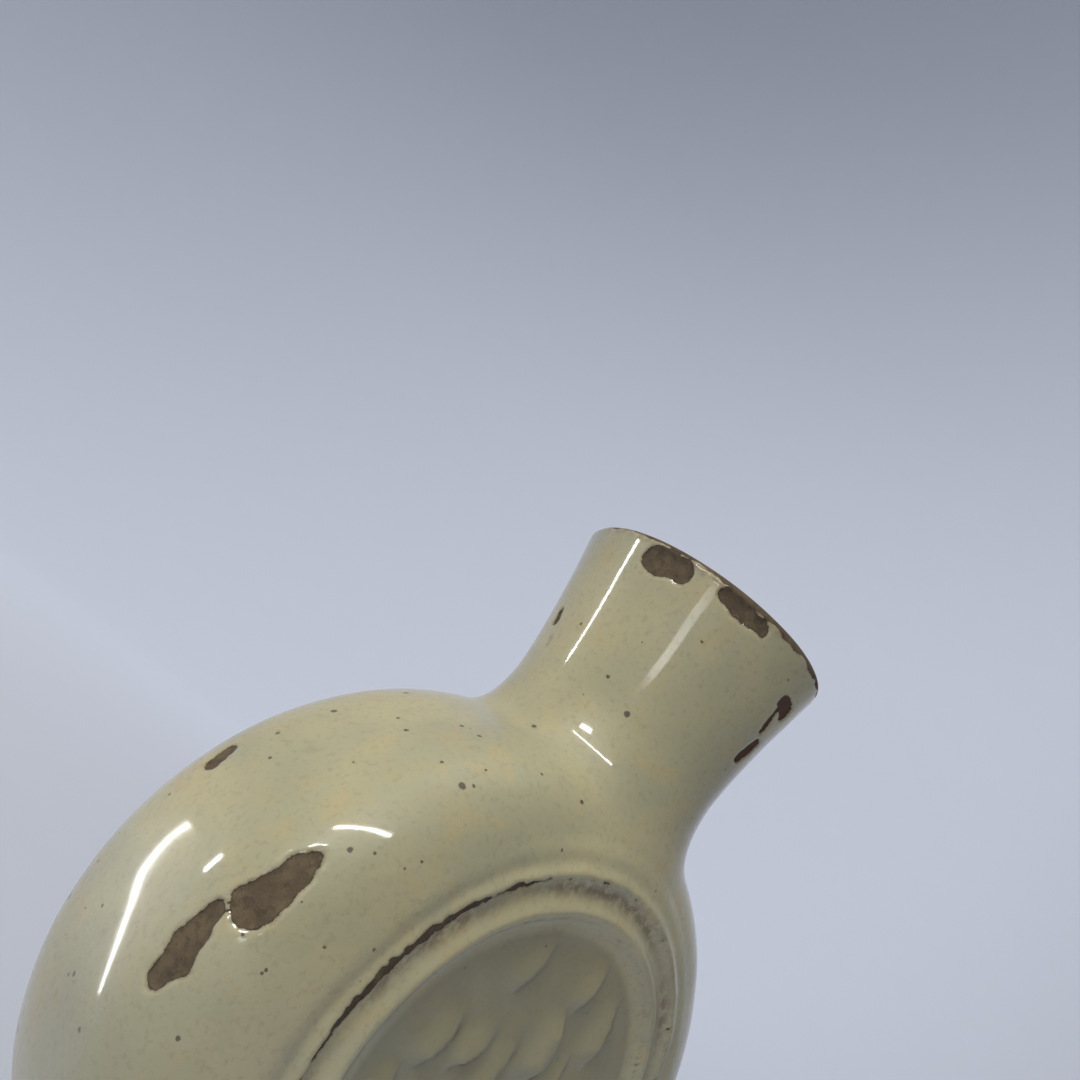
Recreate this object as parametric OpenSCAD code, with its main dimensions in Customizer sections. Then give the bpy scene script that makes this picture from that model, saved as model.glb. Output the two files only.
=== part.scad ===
// Flattened round sake bottle: two press-moulded stoneware halves luted together,
// a thrown flared neck, an oval foot, a relief roundel on each face and a coat of glaze.
// +Z is up, X is the width, Y is the depth, and the bottle stands on z = 0.

/* [Body] */
// Width of the body
body_w = 103; // [90:1:120]
// Height of the body, without neck and foot
body_h = 96; // [86:1:112]
// Depth of the body, front face to back face
body_d = 46; // [42:1:54]
// Squareness of the body's edge, where 2 is a plain ellipse
edge_n = 4; // [3:0.25:5]
// Wall of the two halves
body_wall = 4.5; // [4:0.25:6]

/* [Neck] */
// Outer diameter of the mouth
mouth_d = 45; // [41:0.5:49]
// Outer diameter of the waist, the narrowest part of the neck
waist_d = 37.5; // [34:0.5:40]
// Height of the mouth above the top of the body
neck_rise = 31.5; // [28:0.5:38]
// Height of the waist above the top of the body
waist_rise = 5.5; // [4:0.5:8]
// Diameter of the throat in the bare clay
throat_d = 26; // [22:0.5:28]
// Thickness of the lip
lip_t = 3.2; // [2.6:0.2:4]
// Radius of the luting fillet between the neck and the shoulders
fillet_r = 12; // [8:1:14]

/* [Foot] */
// Width of the oval foot
foot_w = 50; // [42:1:56]
// Depth of the oval foot
foot_d = 30; // [26:1:34]
// Wall of the foot
foot_wall = 5; // [4:0.5:6]
// Height of the body above the table
foot_h = 3.5; // [2.5:0.5:5]

/* [Roundels] */
// Radius of the round relief on each face
roundel_r = 37; // [36.5:0.5:38]
// Depth of the flat seat cut for the roundel, below the body's face
seat_drop = 3.2; // [2.8:0.2:3.4]
// Height of the roundel's centre above the body's centre
roundel_lift = 2; // [0:0.5:2.5]
// Radius of the outer raised ring
outer_ring_r = 33.8; // [32:0.2:34.4]
// Radius of the inner raised ring
inner_ring_r = 29; // [25:0.2:29.6]
// Depth of the recessed panel, below the body's face
panel_drop = 2.2; // [1.6:0.1:2.4]
// Radius of a reed stroke
reed_r = 1.3; // [1:0.1:1.6]

/* [Joints and glaze] */
// Width of the coil pressed over the seam inside
seam_w = 9; // [6:0.5:12]
// Thickness of that coil
seam_t = 1.6; // [1:0.2:2.4]
// Thickness of the glaze
glaze_t = 0.5; // [0.4:0.1:0.8]

/* [Hidden] */
$fn = 96;
body_z = foot_h + body_h / 2;
mouth_z = foot_h + body_h + neck_rise;
waist_z = foot_h + body_h + waist_rise;
roundel_z = body_z + roundel_lift;
seat_y = body_d / 2 - seat_drop;
panel_y = body_d / 2 - panel_drop;
cavity_n = 3.4;      // the cavity's edge is rounder than the outside
edge_steps = 14;     // steps round a quarter of the body's edge
neck_steps = 12;     // steps up the neck's curve
ring_steps = 14;     // steps across the roundel's two rings
neck_power = 1.5;    // how suddenly the neck's outside opens
throat_power = 1.7;  // how suddenly the throat opens
crown_step = 15;     // degrees between the points round the lip
far = 200;           // longer than anything that it cuts
lip_bare = 1.4;      // height of bare clay left on the worn lip
fine_fn = 240;       // finer facets where a thin piece meets the body
sector = 120;        // degrees of the body's edge that the foot or the neck stands on
// Where the throat starts to open, and where the neck ends inside the shoulders.
flare_low = mouth_z - 17.5;
collar_low = body_z + body_h / 4;
// The fillet's arc is centred where it touches both the waist and the shoulder.
fillet_x = waist_d / 2 + fillet_r;
fillet_rise = (body_h / 2 + fillet_r) * sqrt(1 - pow(fillet_x / (body_w / 2 + fillet_r), 2));
fillet_end = 90 - atan(fillet_x / pow(body_w / 2 + fillet_r, 2) / (fillet_rise / pow(body_h / 2 + fillet_r, 2)));
fillet_flat = 0.78;  // share of its width that the fillet keeps front to back
fillet_bite = 1;     // how far the fillet runs down into the shoulder
fillet_top = body_z + fillet_rise - fillet_bite;
sleeve_t = 1.6;      // thickness of the luting clay where it is thinnest
sleeve_rise = 1;     // height of the luting clay above the fillet
sleeve_tuck = 0.3;   // how far the luting clay's fillet lies inside the glaze's
luting_top = fillet_top + sleeve_rise;
// Heights and widths of the raised rings on the roundel, and what they stand on.
outer_ring_h = 0.9;
outer_ring_w = 1.3;
inner_ring_h = 1.0;
inner_ring_w = 1.3;
ring_base = 0.5;
rim_fall = 0.75;
reed_sunk = 0.35;    // share of its radius that a reed lies under the panel

clay = [0.45, 0.36, 0.28];
wet_clay = [0.52, 0.42, 0.33];
glaze = [0.80, 0.78, 0.66];
liner = [0.74, 0.72, 0.60];

// Points of a quarter superellipse, from the rim (r, 0) to the face (0, y).
function quarter(r, y, n) = [for (i = [0:edge_steps])
    let (a = 90 * i / edge_steps, c = cos(a), s = sin(a), k = pow(pow(c, n) + pow(s, n), -1 / n))
    [r * k * c, y * k * s]];

function backwards(p) = [for (i = [len(p) - 1:-1:0]) p[i]];

// Radius of the neck's outside at height z: straight at the waist, opening to the mouth.
function neck_r(z) = waist_d / 2
    + (mouth_d - waist_d) / 2 * pow(max(0, (z - waist_z) / (mouth_z - waist_z)), neck_power);

// A smooth bump of height h round radius c, and a smooth step from 0 to 1.
function bump(r, c, w, h) = h * exp(-pow((r - c) / w, 2));
function step(a, b, r) = let (t = min(1, max(0, (r - a) / (b - a)))) t * t * (3 - 2 * t);

// Depth of the roundel's face at radius r: sunk panel, inner ring, groove, outer ring, rim.
function face_y(r) = panel_y
    + ring_base * step(inner_ring_r - 2 * inner_ring_w, inner_ring_r, r)
    + bump(r, inner_ring_r, inner_ring_w, inner_ring_h)
    + bump(r, outer_ring_r, outer_ring_w, outer_ring_h)
    - rim_fall * step(inner_ring_r, outer_ring_r, r);

// Stretches a shape that is round about Y to the body's own width and height.
module oval() {
    translate([0, 0, body_z]) scale([body_w / body_h, 1, 1]) children();
}

// Turns a profile of radius and depth about the Y axis; side -1 is the front, 1 the back.
module about_y(side) {
    rotate([-90 * side, 0, 0]) rotate_extrude() children();
}

// The body as a solid, grown by g: the whole of it, or a sector of it down from its middle
// (towards = 90) or up from it (towards = 270).
module body_solid(g, towards = 0, turn = 360) {
    half = quarter(body_h / 2 + g, body_d / 2 + g, edge_n);
    oval() rotate([-90, 0, 0]) rotate([0, 0, towards - turn / 2]) rotate_extrude(angle = turn)
        polygon(concat([for (p = half) [p[0], -p[1]]], backwards(half)));
}

// Half of the body's cavity at one side of the seam, shrunk by g, with the seam coil taken out.
module cavity_half(side, g, coil) {
    r = body_h / 2 - body_wall - g;
    y = body_d / 2 - body_wall - g;
    edge = [for (p = quarter(r, y, cavity_n)) if (p[1] > seam_w / 2 + g) p];
    coil_r = r - (coil ? seam_t : 0);
    oval() about_y(side) polygon(concat([[0, 0], [coil_r, 0], [coil_r, seam_w / 2 + g],
                                         [min(r, edge[0][0] + 0.2), seam_w / 2 + g]], edge));
}

// The neck's outside as a solid of revolution, grown by g, down into the shoulders.
module neck_solid(g) {
    lip = lip_t / 2;
    span = mouth_z - lip - waist_z;
    side = [for (i = [0:neck_steps]) let (z = waist_z + span * i / neck_steps) [neck_r(z) + g, z]];
    crown = [for (a = [crown_step:crown_step:90])
        [mouth_d / 2 - lip + (lip + g) * cos(a), mouth_z - lip + (lip + g) * sin(a)]];
    rotate_extrude() polygon(concat([[0, collar_low], [waist_d / 2 + g, collar_low]], side, crown,
                                    [[0, mouth_z + g]]));
}

// The throat: straight below, opening to the lip above, shrunk by g.
module throat_solid(g) {
    lip = lip_t / 2;
    lip_x = mouth_d / 2 - lip;
    r = throat_d / 2 - g;
    span = mouth_z - lip - flare_low;
    flare = [for (i = [0:neck_steps]) let (t = i / neck_steps)
        [r + (lip_x - lip - g - r) * pow(t, throat_power), flare_low + span * t]];
    crown = [for (a = [crown_step:crown_step:90])
        [lip_x - (lip + g) * cos(a), mouth_z - lip + lip * sin(a)]];
    rotate_extrude() polygon(concat([[0, collar_low], [r, collar_low]], flare, crown,
                                    [[lip_x, mouth_z + lip], [0, mouth_z + lip]]));
}

// The concave fillet between neck and shoulders, which dies out towards the two faces,
// grown by g and moved in by tuck.
module fillet_solid(g, tuck = 0) {
    r = fillet_r - g;
    arc = [for (i = [0:neck_steps]) let (a = fillet_end * i / neck_steps)
        [fillet_x - tuck - r * cos(a), fillet_top - r * sin(a)]];
    scale([1, fillet_flat, 1])
        rotate_extrude() polygon(concat([[0, fillet_top]], arc, [[arc[neck_steps][0], collar_low], [0, collar_low]]));
}

// The fillet and the straight root of the neck that it wraps.
module luting_solid() {
    fillet_solid(0, sleeve_tuck);
    translate([0, 0, collar_low]) cylinder(r = waist_d / 2, h = luting_top - collar_low);
}

// The round hole that a roundel sits in, at one side, made wider by g.
module seat_solid(side, g) {
    translate([0, side * seat_y, roundel_z]) rotate([-90 * side, 0, 0]) cylinder(r = roundel_r + g, h = far);
}

// A roundel's block from depth y0 out to its face, grown by g.
module roundel_solid(side, y0, g) {
    ring_low = inner_ring_r - 2 * inner_ring_w;
    radii = concat([0], [for (i = [0:ring_steps]) ring_low + (roundel_r - ring_low) * i / ring_steps]);
    face = [for (r = radii) [r == roundel_r ? r + g : r, face_y(r) + g]];
    translate([0, 0, roundel_z]) about_y(side) polygon(concat([[0, y0]], face, [[roundel_r + g, y0]]));
}

// One reed leaf, a round-ended stroke lying on the panel from a to b, given as [x, z].
module reed(a, b) {
    d = b - a;
    len = norm(d);
    translate([a[0], -panel_y + reed_r * reed_sunk, roundel_z + a[1]]) rotate([0, 90 - atan2(d[1], d[0]), 0]) {
        cylinder(r = reed_r, h = len, $fn = 32);
        sphere(r = reed_r, $fn = 32);
        translate([0, 0, len]) sphere(r = reed_r, $fn = 32);
    }
}

// Wind-blown reeds: leaf strokes from [x, z] to [x, z] about the roundel's centre.
module reeds() {
    strokes = [[[-10, 16], [-8.5, 22]], [[3.5, 18], [4, 23]], [[12, 13], [11, 20]], [[2.8, 7], [2.4, 15]],
               [[-18, 2], [-16, 8]], [[-12, 4], [-9, 9]], [[-6, -14], [-3, 0]], [[6, -17], [9, 1]],
               [[15, -10], [17, 4]], [[-15, -14], [-13, -4]]];
    for (s = strokes) reed(s[0], s[1]);
}

// The round-ended oval of the foot as a solid up into the body, made wider by g.
module foot_oval(g) {
    end_x = (foot_w - foot_d) / 2;
    for (x = [-end_x, end_x]) translate([x, 0, 0]) cylinder(r = foot_d / 2 + g, h = body_z / 2);
    translate([-end_x, -foot_d / 2 - g, 0]) cube([2 * end_x, foot_d + 2 * g, body_z / 2]);
}

// All the clay that shows outside, grown by g.
module outer_shape(g) {
    difference() {
        body_solid(g);
        for (side = [-1, 1]) seat_solid(side, -g);
    }
    for (side = [-1, 1]) roundel_solid(side, 0, g);
    neck_solid(g);
    fillet_solid(g);
}

// One press-moulded half of the body, with its roundel seat and its share of the throat hole.
module half(side) {
    difference() {
        body_solid(0);
        translate([-far / 2, side > 0 ? -far : 0, -far / 2]) cube([far, far, 2 * far]);
        cavity_half(side, 0, false);
        seat_solid(side, 0);
        throat_solid(0);
    }
}

module front_half() { color(clay) half(-1); }

module back_half() { color(clay) half(1); }

// The clay coil pressed over the seam inside, cut away below the throat.
module seam_coil() {
    color(wet_clay) difference() {
        intersection() {
            union() { cavity_half(-1, 0, false); cavity_half(1, 0, false); }
            translate([-far / 2, -seam_w / 2, 0]) cube([far, seam_w, far]);
        }
        cavity_half(-1, 0, true);
        cavity_half(1, 0, true);
        throat_solid(0);
    }
}

// The thrown neck, saddled onto the shoulders, its root turned down to take the luting clay.
module neck_collar() {
    color(clay) difference() {
        neck_solid(0);
        body_solid(0);
        throat_solid(0);
        difference() {
            translate([0, 0, collar_low - 1]) cylinder(r = waist_d, h = luting_top - collar_low + 1);
            translate([0, 0, collar_low - 2]) cylinder(r = waist_d / 2 - sleeve_t, h = far);
        }
    }
}

// The luting clay wrapped round the neck's root and smoothed into the corner.
module luting_ring() {
    color(wet_clay) difference() {
        luting_solid();
        translate([0, 0, collar_low - 1]) cylinder(r = waist_d / 2 - sleeve_t, h = far);
        body_solid(0, 270, sector, $fn = fine_fn);
    }
}

// The oval foot, hollow underneath, cut to the curve of the body.
module foot_ring() {
    color(clay) difference() {
        foot_oval(0, $fn = fine_fn);
        translate([0, 0, -foot_h]) foot_oval(-foot_wall, $fn = fine_fn);
        translate([0, 0, foot_h]) foot_oval(-foot_wall, $fn = fine_fn);
        body_solid(0, 90, sector, $fn = fine_fn);
    }
}

module front_roundel() {
    color(wet_clay) union() {
        roundel_solid(-1, seat_y, 0);
        reeds();
    }
}

module back_roundel() { rotate([0, 0, 180]) front_roundel(); }

// The coat of glaze on everything outside but the foot and the worn lip.
module outer_glaze() {
    color(glaze) difference() {
        outer_shape(glaze_t);
        outer_shape(0);
        foot_oval(0);
        throat_solid(-glaze_t);
        translate([-far / 2, -far / 2, mouth_z - lip_bare]) cube([far, far, far]);
        reeds();
        rotate([0, 0, 180]) reeds();
    }
}

// The coat of glaze inside, over the cavity and the seam coil and up to the lip.
module inner_glaze() {
    color(liner) difference() {
        union() {
            cavity_half(-1, 0, true);
            cavity_half(1, 0, true);
            throat_solid(0);
        }
        cavity_half(-1, glaze_t, true);
        cavity_half(1, glaze_t, true);
        throat_solid(glaze_t);
        translate([-far / 2, -far / 2, mouth_z - lip_t / 2]) cube([far, far, far]);
    }
}

front_half();
back_half();
seam_coil();
neck_collar();
luting_ring();
foot_ring();
front_roundel();
back_roundel();
outer_glaze();
inner_glaze();
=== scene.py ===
# %% [markdown]
# # A flattened sake bottle
# A stoneware flask pressed in two halves, with a thrown neck, an oval foot and a round
# relief on each face, under one coat of cream glaze that has chipped down to brown clay.
# The solid parts come from the imported frame. This lesson builds what the eye sees: the
# glaze inside and out, the bare clay of the foot and neck, and the studio round them.

# %% Load the frame, and a way to measure its parts' boxes
import bpy
import numpy as np
from mathutils import Matrix, Vector


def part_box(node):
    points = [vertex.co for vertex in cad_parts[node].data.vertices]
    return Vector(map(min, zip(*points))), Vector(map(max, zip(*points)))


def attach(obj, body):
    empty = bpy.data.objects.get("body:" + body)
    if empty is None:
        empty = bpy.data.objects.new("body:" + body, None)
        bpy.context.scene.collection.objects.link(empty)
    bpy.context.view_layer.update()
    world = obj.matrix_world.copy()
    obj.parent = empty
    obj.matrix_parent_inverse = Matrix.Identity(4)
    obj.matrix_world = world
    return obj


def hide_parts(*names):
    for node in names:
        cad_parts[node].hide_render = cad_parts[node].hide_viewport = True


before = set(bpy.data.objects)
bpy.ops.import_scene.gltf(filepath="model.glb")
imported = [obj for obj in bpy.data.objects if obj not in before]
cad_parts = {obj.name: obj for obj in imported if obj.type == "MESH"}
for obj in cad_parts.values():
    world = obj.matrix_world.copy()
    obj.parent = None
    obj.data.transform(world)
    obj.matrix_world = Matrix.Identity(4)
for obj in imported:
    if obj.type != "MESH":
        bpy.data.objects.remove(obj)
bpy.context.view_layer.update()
print("nodes in the frame:", sorted(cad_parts))

# %% [markdown]
# Every size is worked out in millimetres, because a potter thinks in them, and turned
# to metres when a mesh is made. Places come from the boxes of the frame's own nodes.

# %% Sizes of the bottle, in millimetres
MM = 0.001


def box_mm(node):
    """Lowest and highest corner of a node of the frame, in millimetres."""
    low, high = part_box(node)
    return np.array(low) / MM, np.array(high) / MM


half_low = box_mm("front_half")[0]
neck_high = box_mm("neck_collar")[1]
foot_high = box_mm("foot_ring")[1]
roundel_low, roundel_high = box_mm("front_roundel")
glaze_high = box_mm("outer_glaze")[1]

GLAZE = 0.5                                # thickness of the glaze
BURIED = 1.05                              # depth of the skin's hidden side
ROUNDEL_LIFT = 2.0                         # roundel's centre above the body's centre
ROUNDEL_Z = (roundel_low[2] + roundel_high[2]) / 2
BODY_Z = ROUNDEL_Z - ROUNDEL_LIFT
BODY_X = glaze_high[0] - 0.12              # half width, just inside the solid glaze
BODY_H = BODY_Z - half_low[2] + GLAZE - 0.1
BODY_Y = 23.4                              # half depth before the relief flattens it
EDGE_N = 4                                 # squareness of the body's edge
MOUTH_Z = neck_high[2]
MOUTH_R = 22.4
WAIST_R = 18.8
WAIST_Z = MOUTH_Z - 26
LIP_R = 1.6
CREST_Y = glaze_high[1] - 0.05             # depth of the inner ring's crest
FACE_Y = 12                                # deeper points than this lie on a face
ROOT_RISE = 44.0                           # neck's root above the body's centre
THROAT_R = 12.35                           # glazed throat where it is straight
CHIP_DEPTH = 0.42                          # how far bare clay lies under the glaze
print(f"body centre {BODY_Z:.1f} mm up, mouth {MOUTH_Z:.1f} mm up, half width {BODY_X:.1f} mm")

# %% [markdown]
# ## Handmade unevenness
# Nothing on a hand-made pot is quite even. A lattice of seeded random numbers, blended
# smoothly between its points, gives the same gentle wobble on every run. It is used for
# the walls, for the worn places and for the ragged edges of the chips.


# %% Smooth seeded unevenness
def uneven(points, cell, seed):
    """Value noise from -1 to 1: random numbers on a lattice of the given cell, in mm,
    mixed by smoothstep weights between the eight lattice points round each point."""
    table = np.random.default_rng(seed).uniform(-1, 1, (32, 32, 32))
    q = np.asarray(points, float) / cell + 100.37
    i = np.floor(q).astype(int)
    f = q - i
    f = f * f * (3 - 2 * f)
    out = np.zeros(q.shape[:-1])
    for corner in np.ndindex(2, 2, 2):
        c = np.array(corner)
        weight = np.prod(np.where(c == 1, f, 1 - f), axis=-1)
        j = (i + c) % 32
        out += weight * table[j[..., 0], j[..., 1], j[..., 2]]
    return out


def smooth(low, high, value):
    """Smoothstep: 0 below low, 1 above high, and 3t^2 - 2t^3 between."""
    t = np.clip((value - low) / (high - low), 0, 1)
    return t * t * (3 - 2 * t)


print("unevenness at the middle:", uneven(np.zeros((1, 3)), 10, 1).round(3))

# %% [markdown]
# ## The outside, as one formula
# Seen from the middle of the body, every ray leaves the bottle once. So the outside is
# a distance that depends on two angles, round and up. The body is a superellipsoid, and
# the neck is a turned curve. Taking the larger distance joins them, and taking it softly
# fills the corner under the neck as a potter's thumb does.


# %% Body, neck and their soft join
def body_reach(around, up):
    """Distance from the body's centre to its glaze: the superellipsoid
    ((x/a)^2 + (z/c)^2)^(n/2) + |y/b|^n = 1, solved along the direction (around, up)."""
    x = np.cos(up) * np.cos(around) / BODY_X
    y = np.cos(up) * np.sin(around) / BODY_Y
    z = np.sin(up) / BODY_H
    return ((x * x + z * z) ** (EDGE_N / 2) + np.abs(y) ** EDGE_N) ** (-1 / EDGE_N)


def neck_radius(z):
    """Outer radius of the neck at height z: the waist's, plus a 3/2 power of the height
    above the waist that ends at the mouth's radius."""
    share = np.clip((z - WAIST_Z) / (MOUTH_Z - LIP_R - WAIST_Z), 0, None)
    return WAIST_R + (MOUTH_R - WAIST_R) * share ** 1.5


neck_heights = np.linspace(BODY_Z + 5, MOUTH_Z - LIP_R, 400)
neck_angles = np.arctan2(neck_heights - BODY_Z, neck_radius(neck_heights))
neck_reaches = np.hypot(neck_heights - BODY_Z, neck_radius(neck_heights))
JOIN = 9.0                                 # how widely the corner under the neck is filled


def outside(around, up):
    """Points of the outside: the direction (around, up) times the soft maximum of the
    body's and the neck's reach, max(a, b) + h^2 k / 4 with h = 1 - |a - b| / k."""
    body = body_reach(around, up)
    neck = np.interp(up, neck_angles, neck_reaches)
    near = np.clip(1 - np.abs(body - neck) / JOIN, 0, None)
    reach = np.maximum(body, neck) + near * near * JOIN / 4
    flat = reach * np.cos(up)
    return np.stack([flat * np.cos(around), flat * np.sin(around),
                     BODY_Z + reach * np.sin(up)], axis=-1)


print("top of the shoulder beside the neck:",
      outside(np.array(0.0), np.array(1.05)).round(1))

# %% [markdown]
# ## Relief on the faces
# Each face carries a round relief: a panel sunk in the middle, a tall inner ring, a
# groove, and a lower outer ring that stands out of a shallow moat. Reeds bend across
# the panel. All of it is one depth that depends on the place on the face.

# %% Depth of the roundel
INNER_R, OUTER_R = 29.0, 33.8
PANEL_Y = 21.1


def ring_depth(r):
    """Depth over the glaze at radius r: the panel, a smooth wall up to the inner ring,
    and Gaussian crests for the two rings, on a base that falls to the moat."""
    base = PANEL_Y + 0.7 * smooth(26.2, 28.8, r) - 0.75 * smooth(INNER_R, OUTER_R, r)
    inner = (CREST_Y - PANEL_Y - 0.7) * np.exp(-((r - INNER_R) / 1.25) ** 2)
    outer = 1.0 * np.exp(-((r - OUTER_R) / 1.15) ** 2)
    return base + inner + outer


# Each reed leaf: where it starts and ends on the face, its width and its height.
REEDS = [((-10.5, 14.5), (-8.4, 23.0), 1.1, 0.45), ((3.2, 16.5), (4.2, 24.0), 1.0, 0.5),
         ((12.4, 11.5), (10.8, 20.5), 1.2, 0.75), ((3.0, 5.5), (2.2, 15.5), 1.5, 1.0),
         ((-18.2, 0.5), (-15.6, 8.5), 1.4, 0.8), ((-12.5, 2.5), (-8.4, 9.0), 1.3, 0.7),
         ((-6.5, -3.0), (-3.0, 9.5), 1.3, 0.6), ((7.2, -1.0), (8.4, 11.0), 1.2, 0.6),
         ((15.5, -2.0), (17.4, 9.0), 1.2, 0.6), ((-21.5, -9.0), (-19.5, 0.0), 1.2, 0.6),
         ((-15.0, -15.0), (-11.5, -1.5), 1.4, 0.8), ((-8.0, -21.0), (-5.8, -5.5), 1.5, 0.9),
         ((-1.5, -18.0), (1.8, -2.5), 1.3, 0.8), ((6.0, -21.0), (7.0, -5.0), 1.5, 0.9),
         ((12.0, -17.0), (14.0, -4.5), 1.3, 0.7), ((19.0, -11.0), (20.5, 1.0), 1.2, 0.6)]


def reeds(x, z):
    """Height of the reeds over the panel, and how deep in a crease a point lies. Each
    leaf is a ridge that falls gently on its left and sharply into a crease on its right,
    and tapers to nothing at both ends."""
    height, crease = np.zeros_like(x), np.zeros_like(x)
    for (x0, z0), (x1, z1), width, tall in REEDS:
        dx, dz = x1 - x0, z1 - z0
        length = np.hypot(dx, dz)
        along = ((x - x0) * dx + (z - z0) * dz) / length
        bend = 1.2 * np.sin(np.pi * np.clip(along / length, 0, 1))
        across = ((x - x0) * dz - (z - z0) * dx) / length - bend * 0.5
        taper = smooth(-1.5, 3.0, along) * (1 - smooth(length - 3.5, length + 1.5, along))
        left = np.exp(-(np.clip(-across, 0, None) / (2.2 * width)) ** 2)
        right = np.exp(-(np.clip(across, 0, None) / (0.40 * width)) ** 2)
        cut = np.exp(-((across - 0.75 * width) / (0.34 * width)) ** 2) * taper
        ridge = tall * taper * np.where(across < 0, left, right)
        height = np.maximum(height, ridge) - 0.55 * tall * cut * (ridge > height * 0.5)
        crease = np.maximum(crease, cut * tall)
    return height, crease


def face_relief(points):
    """Moves points on a face to the relief's depth. Inside the moat the depth is the
    roundel's, outside it is the body's, and a smoothstep of the radius mixes the two."""
    x, y, z = points[..., 0], points[..., 1], points[..., 2] - ROUNDEL_Z
    side = np.sign(y)
    wobble = 0.3 * uneven(points, 14, 3) + 0.12 * uneven(points, 4, 4)
    r = np.hypot(x, z) + wobble
    worn = 0.10 * uneven(points, 6, 5) + 0.05 * uneven(points, 2.2, 6)
    lie = 0.28 * uneven(points, 8, 7) + 0.13 * uneven(points, 3, 8)
    panel = (1.8 * reeds(-side * x, z)[0] + lie) * (1 - smooth(23.5, 26.5, r))
    target = np.minimum(ring_depth(r) + panel + worn * smooth(26, 28, r), CREST_Y)
    mix = 1 - smooth(OUTER_R + 0.8, 38.8, r)
    depth = np.abs(y) + mix * (target - np.abs(y))
    out = points.copy()
    on_face = (np.abs(y) > FACE_Y) & (mix > 0)
    out[..., 1] = np.where(on_face, side * depth, y)
    return out


print("depths of panel, inner ring, groove, outer ring:",
      ring_depth(np.array([0, INNER_R, 31.5, OUTER_R])).round(2))

# %% [markdown]
# ## Where the glaze is gone
# A chip is told by a signed distance: how far a point is from the chip's edge, in
# millimetres, negative inside. The vertices carry it as an attribute, so the material
# can cut a crisp edge between them, and the same number lowers the surface to the clay.

# %% Chips and worn edges
# Each chip: two ends in the bottle's own frame and a radius at each end.
CHIPS = [((-46.2, -15.4, 66.6), (-46.8, -15.4, 65.4), 1.3, 1.8),
         ((-46.8, -15.4, 65.4), (-48.6, -14.8, 59.2), 1.9, 2.6),
         ((-50.2, -12.4, 56.4), (-50.4, -12.2, 55.0), 1.4, 1.5),
         ((-50.4, -12.2, 55.0), (-50.4, -12.6, 50.2), 1.5, 2.2),
         ((-50.4, -12.6, 50.2), (-50.3, -12.2, 47.2), 2.2, 1.2),
         ((-21.0, -4.6, 127.7), (-19.3, -8.6, 127.9), 2.2, 2.2),
         ((-15.9, -15.6, 128.6), (-12.6, -18.0, 128.3), 1.5, 1.5),
         ((-12.6, -18.0, 128.3), (-9.8, -19.7, 128.0), 1.5, 1.0),
         ((2.6, -20.8, 123.6), (5.6, -20.2, 123.0), 1.1, 1.6),
         ((4.2, -19.6, 118.6), (3.2, -20.6, 122.0), 0.5, 0.5),
         ((4.4, -19.0, 113.2), (5.8, -18.8, 116.6), 1.1, 1.0),
         ((-18.1, 8.2, 114.8), (-17.9, 7.8, 113.4), 0.6, 0.8),
         ((-18.7, 6.3, 110.4), (-18.6, 5.9, 109.0), 0.8, 0.7),
         ((-48.9, 9.0, 66.5), (-47.6, 9.6, 69.0), 1.3, 1.0),
         ((40.0, 14.0, 72.0), (44.5, 14.5, 64.0), 1.4, 2.0),
         ((46.0, -12.0, 36.0), (43.0, -14.0, 29.0), 1.0, 1.6),
         ((12.0, 17.0, 126.5), (8.0, 19.5, 127.5), 1.6, 1.0)]


def chip_distance(points):
    """Signed distance to the nearest chip: for each one, the distance to its axis less
    a radius that changes evenly along it, made ragged by two sizes of unevenness."""
    nearest = np.full(points.shape[:-1], 9.0)
    for start, end, r0, r1 in CHIPS:
        a, b = np.array(start), np.array(end)
        share = np.clip((points - a) @ (b - a) / ((b - a) @ (b - a)), 0, 1)
        gap = np.linalg.norm(points - a - share[..., None] * (b - a), axis=-1)
        nearest = np.minimum(nearest, gap - (r0 + (r1 - r0) * share))
    return nearest + 0.4 * uneven(points, 2.4, 11) + 0.15 * uneven(points, 0.9, 12)


def worn_distance(points):
    """Signed distance of the wear along edges, in mm: the lip's crown and the crests of
    the rings are bare where a slow unevenness says that hands and tables reached them."""
    x, y, z = points[..., 0], points[..., 1], points[..., 2]
    slow = uneven(points, 7, 21) + 0.6 * uneven(points, 2.5, 22)
    towards = 0.35 * (0.76 * x - 0.64 * y) / MOUTH_R
    lip = MOUTH_Z - 1.3 - 1.3 * towards - z + 0.25 * slow + 0.45 * uneven(points, 1.3, 24)
    r = np.hypot(x, z - ROUNDEL_Z)
    turn = np.arctan2(z - ROUNDEL_Z, -x * np.sign(y))
    reach = 3.0 * np.cos(turn - 0.87 * np.pi) - 2.3 + 0.4 * slow
    jagged = 0.22 * uneven(points, 0.9, 25)
    outer = np.abs(r - OUTER_R + 0.45) - 0.85 * smooth(0.0, 0.7, reach) + 0.14 + jagged
    inner = np.abs(r - INNER_R + 1.3) - 0.8 * smooth(0.3, 0.85, 0.6 * reach + 0.5 * slow) + 0.2
    rings = np.where(np.abs(y) > FACE_Y, np.minimum(outer, inner), 9.0)
    return np.minimum(lip, rings + 0.38 * uneven(points, 0.95, 23))


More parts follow.
